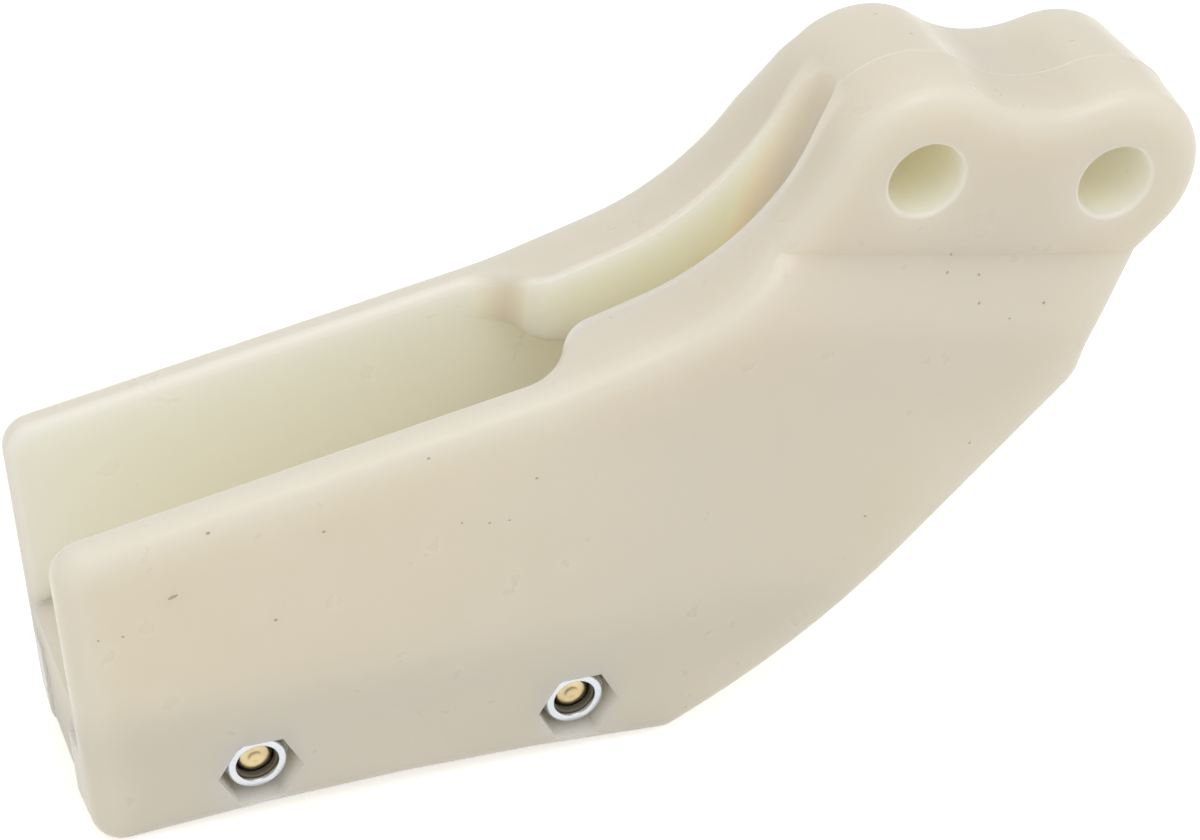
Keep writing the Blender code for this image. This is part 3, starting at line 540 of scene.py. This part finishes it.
def makeNut(name, centre, material):
    # a hexagon turned down to a thin collar whose rolled lip holds the insert
    # the profile runs round a closed ring as (y, radius), and each radius stays inside the hexagon
    h = hardware
    seat, top, hexTop = h["nutSeat"], h["nutSeat"] - h["nutHeight"], h["nutSeat"] - h["nutHexHeight"]
    start, corner = h["nutFlats"] / 2 - h["chamferStart"], h["nutFlats"] / np.sqrt(3)
    bore, groove = h["boltRadius"] + h["gap"], h["insertRadius"] + h["gap"]
    insertFloor = top + h["lip"] + h["insertHeight"] + 2 * h["gap"]
    slope = np.linspace(0, 1, 7)
    roll = np.linspace(0, np.pi / 2, 7)
    bevel = start + (corner - start) * slope
    y = np.concatenate([[seat, seat], seat - h["chamfer"] * slope, hexTop + h["chamfer"] * slope[::-1],
                        [hexTop - 0.05, hexTop - 0.25], top + h["collarEdge"] * (1 - np.sin(roll)),
                        top + h["lipRoll"] * (1 - np.sin(roll[::-1])),
                        [top + h["lip"]] * 2, [insertFloor] * 2])
    limit = np.concatenate([[bore, start], bevel, bevel[::-1],
                            [h["collarRadius"] + h["collarFoot"], h["collarRadius"]],
                            h["collarRadius"] - h["collarEdge"] * (1 - np.cos(roll)),
                            h["lipRadius"] + h["lipRoll"] * (1 - np.cos(roll[::-1])),
                            [h["lipRadius"], groove], [groove, bore]])
    angle = np.linspace(0, 2 * np.pi, h["sides"], endpoint=False)
    radius = np.minimum(limit[:, None], hexagonRadius(h["nutFlats"], angle)[None])
    nut = gridPiece("nut_" + name, turnedGrid(centre, y, radius, h["sides"]), material, wrapRows=True)
    smoothPiece(nut, 28)
    return nut


def makeInsert(name, centre, material):
    # the locking ring, a rounded rectangle turned about the bolt
    h = hardware
    low, r = h["nutSeat"] - h["nutHeight"] + h["lip"] + h["gap"], h["insertRound"]
    inner, outer, high = h["boltRadius"] + h["gap"] * 0.5, h["insertRadius"], low + h["insertHeight"]
    quarter = np.linspace(0, np.pi / 2, 6)
    sine, cosine = r * np.sin(quarter), r * np.cos(quarter)
    y = np.concatenate([low + r - cosine[::-1], low + r - cosine, high - r + sine, high - r + cosine])
    radius = np.concatenate([inner + r - sine[::-1], outer - r + sine, outer - r + cosine, inner + r - sine])
    ring = gridPiece("insert_" + name, turnedGrid(centre, y, radius, h["sides"]), material, wrapRows=True)
    smoothPiece(ring, 50)
    return ring


def makeBolt(name, centre, material):
    # threaded tip, plain shank and hexagon head
    # the thread's radius falls and rises once in each pitch, and its phase turns once round the bolt
    h = hardware
    tip, crown = h["nutSeat"] - h["nutHeight"] + h["tipDepth"], h["headSeat"] + h["headHeight"]
    start, corner = h["headFlats"] / 2 - h["chamferStart"], h["headFlats"] / np.sqrt(3)
    angle = np.linspace(0, 2 * np.pi, h["sides"], endpoint=False)
    hexagon = hexagonRadius(h["headFlats"], angle)[None]
    # depth and radius on the end face
    dimple = np.array([[0.35, h["poleRadius"]], [0.30, 0.6], [0.10, 1.0], [0.0, 1.25],
                       [0.0, 1.75], [0.06, 2.05], [0.10, 2.2]])
    threadY = np.arange(h["threadStart"], h["threadLength"], h["pitch"] / 10)
    turns = np.mod(threadY[:, None] / h["pitch"] - angle[None] / (2 * np.pi), 1)
    groove = h["threadDepth"] * np.abs(2 * turns - 1)
    cone = h["boltRadius"] - h["tipChamfer"] + threadY
    thread = np.minimum(h["boltRadius"] - groove, cone[:, None])
    slope = np.linspace(0, 1, 7)
    bevel = np.minimum((start + (corner - start) * slope)[:, None], hexagon)
    ring = np.ones((1, h["sides"]))
    y = np.concatenate([tip + dimple[:, 0], tip + threadY,
                        [tip + h["shankStart"], h["headSeat"], h["headSeat"]],
                        crown - h["chamfer"] * slope[::-1], [crown - 0.06, crown]])
    radius = np.concatenate([dimple[:, 1:] * ring, thread, h["boltRadius"] * ring, h["boltRadius"] * ring,
                             hexagon, bevel, h["crownRadius"] * ring, h["poleRadius"] * ring])
    bolt = gridPiece("bolt_body_" + name, turnedGrid(centre, y, radius, h["sides"]), material)
    smoothPiece(bolt, 30)
    return bolt


# materials

def newMaterial(name, colour, roughness, metallic=0.0):
    material = bpy.data.materials.new(name)
    material.use_nodes = True
    nodes = material.node_tree.nodes
    shader = nodes["Principled BSDF"]
    shader.inputs["Base Color"].default_value = (*colour, 1)
    shader.inputs["Roughness"].default_value = roughness
    shader.inputs["Metallic"].default_value = metallic
    return material, nodes, material.node_tree.links, shader


def noiseOn(nodes, links, scale, detail):
    # noise on the piece's own coordinates, in cycles for each metre
    place = nodes.new("ShaderNodeTexCoord")
    noise = nodes.new("ShaderNodeTexNoise")
    noise.inputs["Scale"].default_value = scale
    noise.inputs["Detail"].default_value = detail
    links.new(place.outputs["Object"], noise.inputs["Vector"])
    return noise.outputs["Fac"]


def remap(nodes, links, value, fromLow, fromHigh, toLow, toHigh):
    shift = nodes.new("ShaderNodeMapRange")
    for key, number in (("From Min", fromLow), ("From Max", fromHigh), ("To Min", toLow), ("To Max", toHigh)):
        shift.inputs[key].default_value = number
    links.new(value, shift.inputs["Value"])
    return shift.outputs["Result"]


def mixColour(nodes, links, factor, first, second):
    mix = nodes.new("ShaderNodeMix")
    mix.data_type = "RGBA"
    for socket, colour in (("A", first), ("B", second)):
        target = [i for i in mix.inputs if i.name == socket and i.type == "RGBA"][0]
        if isinstance(colour, tuple):
            target.default_value = (*colour, 1)
        else:
            links.new(colour, target)
    links.new(factor, mix.inputs["Factor"])
    return [o for o in mix.outputs if o.type == "RGBA"][0]


def bumpFrom(nodes, links, shader, height, distance):
    bump = nodes.new("ShaderNodeBump")
    bump.inputs["Distance"].default_value = distance
    links.new(height, bump.inputs["Height"])
    links.new(bump.outputs["Normal"], shader.inputs["Normal"])


# the hollow, bore and pocket colours are painted light: lighter, yellower tones on the channel walls, bores
# and nut pockets in place of the shade that falls there
waxy = dict(colour=(0.75, 0.697, 0.597), warm=(0.742, 0.683, 0.570), paintedHollowLight=(1.0, 0.915, 0.745),
            bore=(1.0, 0.92, 0.775), pocket=(0.88, 0.81, 0.69), roughness=0.31,
            subsurface=1.0, radius=(1.0, 0.95, 0.86), depth=0.016, cloud=22.0, gloss=160.0, peel=420.0)


def calc(nodes, links, operation, first, second=0.0):
    # one step of arithmetic between two sockets or numbers
    step = nodes.new("ShaderNodeMath")
    step.operation = operation
    for place, value in enumerate((first, second)):
        if isinstance(value, (int, float)):
            step.inputs[place].default_value = value
        else:
            links.new(value, step.inputs[place])
    return step.outputs[0]


def hollowLightMask(nodes, links):
    # where painted light lightens the colour, 1 on the walls of the channel, the slot and the tunnel, 0
    # outside
    # it eases out over the rims and towards the slot's closed end
    def step(operation, first, second=0.0):
        return calc(nodes, links, operation, first, second)

    place = nodes.new("ShaderNodeTexCoord")
    parts = nodes.new("ShaderNodeSeparateXYZ")
    links.new(place.outputs["Object"], parts.inputs["Vector"])
    x, y, z = parts.outputs
    wide, narrow = shell["channelWidth"] / 2, shell["slotWidth"] / 2
    bends = shell["channelCorner"] + shell["lipNose"]
    bendLength = np.sqrt(bends ** 2 - (bends - wide + narrow) ** 2)
    width = nodes.new("ShaderNodeMapRange")
    width.interpolation_type = "SMOOTHSTEP"
    for key, number in (("From Min", startOfBend), ("From Max", startOfBend + bendLength),
                        ("To Min", wide), ("To Max", narrow)):
        width.inputs[key].default_value = float(number * mm)
    links.new(x, width.inputs["Value"])
    offMiddle = step("ABSOLUTE", y)
    inside = remap(nodes, links, step("SUBTRACT", offMiddle, width.outputs["Result"]), 0.0002, 0.0016, 1, 0)
    fall = float(np.tan(np.radians(shell["ceilingFall"])))
    height = step("ADD", step("SUBTRACT", z, float(ceilingAt(0) * mm)), step("MULTIPLY", x, fall))
    below = remap(nodes, links, height, 0.0003, 0.0012, 1, 0)
    within = remap(nodes, links, offMiddle, wide * mm + 0.0002, wide * mm + 0.0010, 1, 0)
    lean = float(np.tan(np.radians(shell["slotEndLean"])))
    past = step("SUBTRACT", step("SUBTRACT", x, float(slotEndAt(0) * mm)), step("MULTIPLY", z, lean))
    before = remap(nodes, links, past, -0.0050, 0.0, 1, 0)
    mask = step("MAXIMUM", step("MULTIPLY", inside, before), step("MULTIPLY", below, within))
    return mask, x, y, z


def recessLightMask(nodes, links, x, z, centres, radius):
    # 1 inside a radius from either of two axes, which run along y; painted light lightens the colour there
    def step(operation, first, second=0.0):
        return calc(nodes, links, operation, first, second)

    masks = []
    for centre in centres:
        along = step("SUBTRACT", x, float(centre[0] * mm))
        rise = step("SUBTRACT", z, float(centre[1] * mm))
        reach = step("SQRT", step("ADD", step("MULTIPLY", along, along), step("MULTIPLY", rise, rise)))
        masks.append(remap(nodes, links, reach, (radius + 0.1) * mm, (radius + 0.7) * mm, 1, 0))
    return step("MAXIMUM", *masks)


def makeWaxyPlastic(name, look, paintedHollowLight=False):
    # translucent moulded polyethylene: slow cloudy tone, painted light that lightens the hollows, bores and
    # nut pockets, soft gloss and faint orange peel
    material, nodes, links, shader = newMaterial(name, look["colour"], look["roughness"])
    cloud = remap(nodes, links, noiseOn(nodes, links, look["cloud"], 2.0), 0.35, 0.7, 0, 1)
    tone = mixColour(nodes, links, cloud, look["colour"], look["warm"])
    if paintedHollowLight:
        # painted light: the channel, slot and tunnel walls, the bores and the nut pockets' walls take
        # lighter, yellower colours instead of their shade
        inside, x, y, z = hollowLightMask(nodes, links)
        tone = mixColour(nodes, links, inside, tone, look["paintedHollowLight"])
        bores = recessLightMask(nodes, links, x, z, (frontHole, rearHole), shell["boreRadius"])
        tone = mixColour(nodes, links, bores, tone, look["bore"])
        pockets = recessLightMask(nodes, links, x, z, boltCentres.values(), hardware["pocketFlats"] / np.sqrt(3))
        deep = remap(nodes, links, y, -halfBody * mm + 0.0001, -halfBody * mm + 0.0006, 0, 1)
        tone = mixColour(nodes, links, calc(nodes, links, "MULTIPLY", pockets, deep), tone, look["pocket"])
    links.new(tone, shader.inputs["Base Color"])
    gloss = noiseOn(nodes, links, look["gloss"], 4.0)
    rough = remap(nodes, links, gloss, 0.3, 0.7, look["roughness"] - 0.04, look["roughness"] + 0.06)
    links.new(rough, shader.inputs["Roughness"])
    shader.inputs["IOR"].default_value = 1.51
    shader.inputs["Subsurface Weight"].default_value = look["subsurface"]
    shader.inputs["Subsurface Radius"].default_value = look["radius"]
    shader.inputs["Subsurface Scale"].default_value = look["depth"]
    bumpFrom(nodes, links, shader, noiseOn(nodes, links, look["peel"], 3.0), 0.00002)
    return material


def makeMetal(name, colour, tint, roughness):
    # zinc plate: small changes of tone and gloss, and fine turning marks
    material, nodes, links, shader = newMaterial(name, colour, roughness, 1.0)
    patch = remap(nodes, links, noiseOn(nodes, links, 260.0, 2.0), 0.35, 0.65, 0, 1)
    links.new(mixColour(nodes, links, patch, colour, tint), shader.inputs["Base Color"])
    grain = noiseOn(nodes, links, 1500.0, 3.0)
    rough = remap(nodes, links, grain, 0.3, 0.7, roughness - 0.03, roughness + 0.05)
    links.new(rough, shader.inputs["Roughness"])
    bumpFrom(nodes, links, shader, grain, 0.000004)
    return material


def makeNylon(name):
    # grey nylon with a faint mottle
    material, nodes, links, shader = newMaterial(name, (0.15, 0.14, 0.105), 0.42)
    patch = noiseOn(nodes, links, 900.0, 3.0)
    tone = mixColour(nodes, links, patch, (0.125, 0.115, 0.085), (0.185, 0.17, 0.13))
    links.new(tone, shader.inputs["Base Color"])
    bumpFrom(nodes, links, shader, patch, 0.00003)
    return material


# dark specks in the near face, each a low dome on the plate
# a place is x, z, half length, half height and turn in degrees

specks = dict(dome=0.05, sink=0.02, rings=5, sides=16,
              colour=(0.38, 0.34, 0.27), tint=(0.52, 0.47, 0.39), places=(
    (-74.3, 48.3, 0.90, 0.30, 20), (-68.9, 59.0, 0.34, 0.26, 0), (-51.4, 55.3, 0.30, 0.28, 40),
    (-58.7, 40.2, 0.34, 0.28, 15), (-35.5, 65.4, 0.28, 0.20, 0), (-18.3, 58.0, 0.30, 0.24, 0),
    (-29.9, 52.1, 0.22, 0.20, 0), (-25.5, 51.1, 0.26, 0.20, 30), (-22.3, 50.9, 0.22, 0.18, 0),
    (-81.9, 42.6, 0.26, 0.22, 0), (-85.6, 42.7, 0.22, 0.20, 60), (49.1, 82.7, 0.26, 0.22, 0),
    (48.0, 80.6, 0.30, 0.20, 20), (53.4, 79.3, 0.24, 0.22, 0), (53.0, 75.4, 0.28, 0.22, 40),
    (58.3, 72.0, 0.22, 0.20, 0), (64.3, 73.3, 0.30, 0.24, 10), (37.5, 38.2, 0.28, 0.24, 0),
    (54.3, 49.1, 0.24, 0.22, 0)))


def makeSpecks(name):
    # a ring lies at share sin(a) of its dome's half length and height, and stands dome * cos(a) off the plate
    row = np.array(specks["places"])
    x, z, halfLong, halfHigh, turn = (row[:, k, None, None] for k in range(5))
    fall = np.linspace(0.05, np.pi / 2, specks["rings"])[None, :, None]
    angle = np.linspace(0, 2 * np.pi, specks["sides"], endpoint=False)[None, None, :]
    along, up = halfLong * np.sin(fall) * np.cos(angle), halfHigh * np.sin(fall) * np.sin(angle)
    turned = np.radians(turn)
    px = x + along * np.cos(turned) - up * np.sin(turned)
    pz = z + along * np.sin(turned) + up * np.cos(turned)
    plate = -halfBody * thicknessShare(px, pz, False)
    py = plate + specks["sink"] - specks["dome"] * np.cos(fall)
    # the last ring is repeated inside the plate, and closes the dome
    low = plate[:, -1:] + specks["dome"]
    grid = np.stack([np.concatenate([px, px[:, -1:]], 1), np.concatenate([py, low], 1),
                     np.concatenate([pz, pz[:, -1:]], 1)], -1)
    count, rows, columns = grid.shape[:3]
    caps = [list(range(columns))[::-1], list(range((rows - 1) * columns, rows * columns))]
    one = gridFaces(rows, columns) + caps
    faces = [[index + k * rows * columns for index in face] for k in range(count) for face in one]
    material, nodes, links, shader = newMaterial("speck_grey", specks["colour"], 0.6)
    patch = noiseOn(nodes, links, 1800.0, 2.0)
    links.new(mixColour(nodes, links, patch, specks["colour"], specks["tint"]), shader.inputs["Base Color"])
    piece = newPiece(name, grid.reshape(-1, 3), faces, material)
    facesOutward(piece)
    smoothPiece(piece, 50)
    return piece


# build

naturalPlastic = makeWaxyPlastic("natural_plastic", waxy, paintedHollowLight=True)
wearPlastic = makeWaxyPlastic("wear_plastic", {**waxy, "roughness": 0.42})
brightZinc = makeMetal("bright_zinc", (0.67, 0.71, 0.76), (0.62, 0.67, 0.74), 0.24)
yellowZinc = makeMetal("yellow_zinc", (0.72, 0.60, 0.36), (0.62, 0.50, 0.30), 0.34)
greyNylon = makeNylon("grey_nylon")

shellPiece = makeShell(naturalPlastic)
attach(shellPiece, "root")
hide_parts("shell")
print("shell", len(shellPiece.data.polygons), "faces")

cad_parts["wear_block"].data.materials.clear()
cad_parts["wear_block"].data.materials.append(wearPlastic)

for side, centre in boltCentres.items():
    for piece, slotName, node in ((makeNut(side, centre, brightZinc), "bright_zinc", "lock_nut_" + side),
                                  (makeInsert(side, centre, greyNylon), "grey_nylon", "nut_insert_" + side),
                                  (makeBolt(side, centre, yellowZinc), "yellow_zinc", "bolt_" + side)):
        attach(piece, "root")
        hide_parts(node)
print("nuts, inserts and bolts")

speckPiece = makeSpecks("surface_specks")
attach(speckPiece, "root")
print("specks")


# table, light and camera

table = dict(size=3000.0, colour=(0.80, 0.77, 0.71), glow=0.6)
studio = dict(world=0.715, aim=(0.0, 0.0, 0.05), key=4.3, keySize=0.8, keyPlace=(0.16, -0.72, 1.20),
              strip=0.5, stripSize=(0.9, 0.07), stripPlace=(0.0, 0.12, 0.95))
view = dict(place=(-175.31, -414.85, 386.48), right=(0.9352, -0.3497, 0.0553), up=(0.1682, 0.5764, 0.7997),
            lens=108.0, sensor=36.0, near=0.01, far=20.0)


def makeTable():
    # one large plane whose colour the camera sees a little brighter, with the guide's soft shadow kept
    reach = table["size"] / 2
    corners = [[-reach, -reach, 0], [reach, -reach, 0], [reach, reach, 0], [-reach, reach, 0]]
    floor = newPiece("table_top", corners, [[0, 1, 2, 3]])
    material, nodes, links, shader = newMaterial("pale_table", table["colour"], 0.9)
    shader.inputs["Specular IOR Level"].default_value = 0.1
    rays = nodes.new("ShaderNodeLightPath")
    glow = nodes.new("ShaderNodeEmission")
    add = nodes.new("ShaderNodeAddShader")
    seen = [nodes.new("ShaderNodeMath") for _ in range(3)]
    for node, operation in zip(seen, ("MAXIMUM", "MAXIMUM", "MULTIPLY")):
        node.operation = operation
    links.new(rays.outputs["Is Camera Ray"], seen[0].inputs[0])
    links.new(rays.outputs["Is Glossy Ray"], seen[0].inputs[1])
    links.new(seen[0].outputs[0], seen[1].inputs[0])
    links.new(rays.outputs["Is Transmission Ray"], seen[1].inputs[1])
    links.new(seen[1].outputs[0], seen[2].inputs[0])
    seen[2].inputs[1].default_value = table["glow"]
    links.new(seen[2].outputs[0], glow.inputs["Strength"])
    links.new(shader.outputs["BSDF"], add.inputs[0])
    links.new(glow.outputs["Emission"], add.inputs[1])
    links.new(add.outputs["Shader"], nodes["Material Output"].inputs["Surface"])
    floor.data.materials.append(material)


def makeWorld():
    # white to the camera, and a softer even light on the object
    world = bpy.data.worlds.new("studio")
    bpy.context.scene.world = world
    world.use_nodes = True
    nodes, links = world.node_tree.nodes, world.node_tree.links
    background = nodes["Background"]
    background.inputs["Color"].default_value = (1, 1, 1, 1)
    rays = nodes.new("ShaderNodeLightPath")
    mix = nodes.new("ShaderNodeMix")
    mix.inputs["A"].default_value = studio["world"]
    mix.inputs["B"].default_value = 1.0
    links.new(rays.outputs["Is Camera Ray"], mix.inputs["Factor"])
    links.new(mix.outputs["Result"], background.inputs["Strength"])


def addLamp(name, power, place, size, sizeY=None):
    # an area lamp at a place in metres, facing the aim: square, or a strip when it has a second size
    lamp = bpy.data.lights.new(name, "AREA")
    lamp.energy, lamp.size, lamp.shape = power, size, "RECTANGLE" if sizeY else "SQUARE"
    if sizeY:
        lamp.size_y = sizeY
    holder = bpy.data.objects.new(name, lamp)
    bpy.context.scene.collection.objects.link(holder)
    away = np.array(place, float) - np.array(studio["aim"], float)
    tilt, swing = np.arctan2(np.hypot(away[0], away[1]), away[2]), np.arctan2(away[1], away[0]) + np.pi / 2
    holder.location = place
    holder.rotation_euler = (tilt, 0, swing)


def makeCamera():
    # the photograph's long lens, from its place and its right and up directions
    camera = bpy.data.cameras.new("camera")
    camera.sensor_fit, camera.sensor_width, camera.lens = "HORIZONTAL", view["sensor"], view["lens"]
    camera.clip_start, camera.clip_end = view["near"], view["far"]
    holder = bpy.data.objects.new("camera", camera)
    bpy.context.scene.collection.objects.link(holder)
    right = unit(np.array(view["right"]))
    up = np.array(view["up"])
    up = unit(up - right * np.dot(up, right))
    matrix = np.eye(4)
    matrix[:3, 0], matrix[:3, 1], matrix[:3, 2] = right, up, np.cross(right, up)
    matrix[:3, 3] = np.array(view["place"]) * mm
    holder.matrix_world = Matrix(matrix.tolist())
    bpy.context.scene.camera = holder


makeTable()
makeWorld()
addLamp("key", studio["key"], studio["keyPlace"], studio["keySize"])
addLamp("strip", studio["strip"], studio["stripPlace"], *studio["stripSize"])
makeCamera()
bpy.context.scene.view_settings.view_transform = "Standard"
print("table, light and camera")
